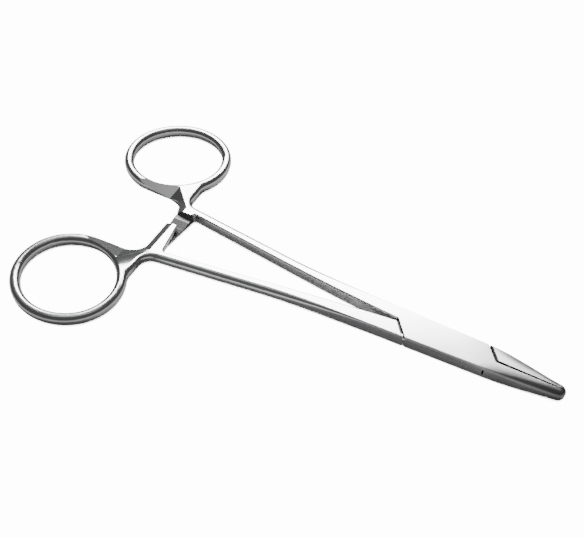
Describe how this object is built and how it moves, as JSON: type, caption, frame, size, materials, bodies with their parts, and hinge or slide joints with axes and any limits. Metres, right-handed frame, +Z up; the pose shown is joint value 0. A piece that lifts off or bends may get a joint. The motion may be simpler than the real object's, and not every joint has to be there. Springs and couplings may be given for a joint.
{
  "type": "surgical needle holder",
  "caption": "Straight box-lock needle holder with oval finger rings, ratchet arms between the shanks and short serrated jaws, closed.",
  "frame": {"origin": "centre of the hinge pin's lower end, on the flat underside of the box lock", "axes": "+X from the pin to the jaw tips, +Y toward the finger ring of the box half, +Z up through the lock"},
  "size_m": [0.1401, 0.081, 0.0038],
  "materials": {
    "box_half_steel": "satin polished stainless steel",
    "through_half_steel": "satin polished stainless steel",
    "pin_steel": "stainless steel ground flush with the lock"
  },
  "bodies": {
    "box_body": {"box_half": "box_half_steel", "hinge_pin": "pin_steel"},
    "through_body": {"through_half": "through_half_steel"}
  },
  "joints": [
    {"name": "lock_hinge", "type": "hinge", "parent": "box_body", "child": "through_body", "pos_m": [0, 0, 0], "axis": [0, 0, 1], "range_deg": [0, 60]}
  ]
}
